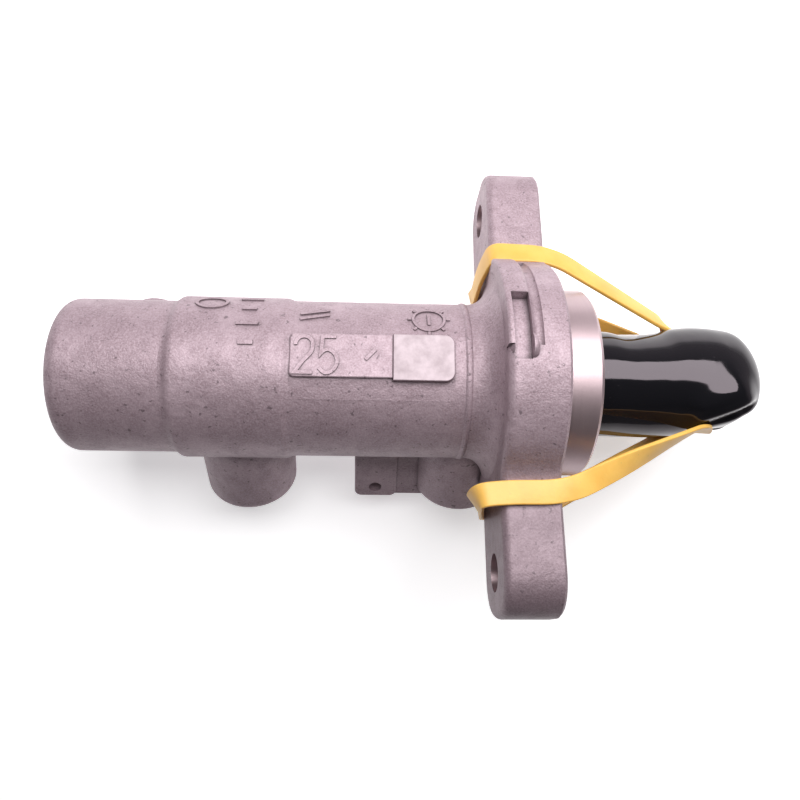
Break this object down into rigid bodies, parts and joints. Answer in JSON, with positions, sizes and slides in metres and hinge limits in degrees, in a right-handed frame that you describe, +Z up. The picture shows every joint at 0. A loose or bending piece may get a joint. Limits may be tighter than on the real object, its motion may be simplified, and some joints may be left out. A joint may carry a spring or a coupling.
{
  "type": "brake master cylinder",
  "caption": "Tandem hydraulic brake master cylinder with a two-ear flange, reservoir bosses, and a vinyl cap held over its piston by a rubber band.",
  "frame": {"origin": "on the bore axis in the plane of the flange's mounting face", "axes": "+X along the bore towards the open piston end, +Z up as the part lies on a bench on its upper ear and its two reservoir bosses, +Y completes the set"},
  "size_m": [0.1757, 0.1102, 0.0668],
  "materials": {
    "cast_aluminium": "as-cast, fine grain, satin",
    "anodised_aluminium": "hard anodised, smooth",
    "bush_bronze": "filled plastic bush, smooth",
    "zinc_steel": "zinc plated",
    "spring_steel": "oiled",
    "seal_rubber": "smooth moulded",
    "black_vinyl": "dipped, high gloss",
    "yellow_rubber": "natural rubber band, satin"
  },
  "bodies": {
    "root": {"cylinder_body": "cast_aluminium", "guide_bush": "bush_bronze", "wiper_seal": "seal_rubber", "stop_washer": "zinc_steel", "circlip": "spring_steel", "primary_rear_seal": "seal_rubber", "primary_pressure_seal": "seal_rubber", "secondary_rear_seal": "seal_rubber", "secondary_pressure_seal": "seal_rubber", "front_grommet": "seal_rubber", "rear_grommet": "seal_rubber", "secondary_spring_seat": "zinc_steel", "secondary_spring": "spring_steel"},
    "primary": {"primary_piston": "anodised_aluminium", "push_rod_cup": "spring_steel", "cage_screw": "zinc_steel", "rear_spring_seat": "zinc_steel"},
    "secondary": {"secondary_piston": "anodised_aluminium", "cage_cup": "zinc_steel", "primary_spring": "spring_steel"},
    "cap": {"protective_cap": "black_vinyl", "rubber_band": "yellow_rubber"}
  },
  "joints": [
    {"name": "primary_slide", "type": "slide", "parent": "root", "child": "primary", "axis": [-1, 0, 0], "range_m": [0, 0.034], "stiffness_N_per_m": 1500, "deforming": ["primary_spring", "secondary_spring"]},
    {"name": "secondary_slide", "type": "slide", "parent": "root", "child": "secondary", "axis": [-1, 0, 0], "range_m": [0, 0.017], "stiffness_N_per_m": 1500},
    {"name": "cap_pull", "type": "slide", "parent": "root", "child": "cap", "axis": [1, 0, 0], "range_m": [0, 0.05], "stiffness_N_per_m": 120, "deforming": ["rubber_band"]}
  ],
  "couplings": [
    {"joint": "secondary_slide", "follows": "primary_slide", "ratio": 0.5}
  ]
}
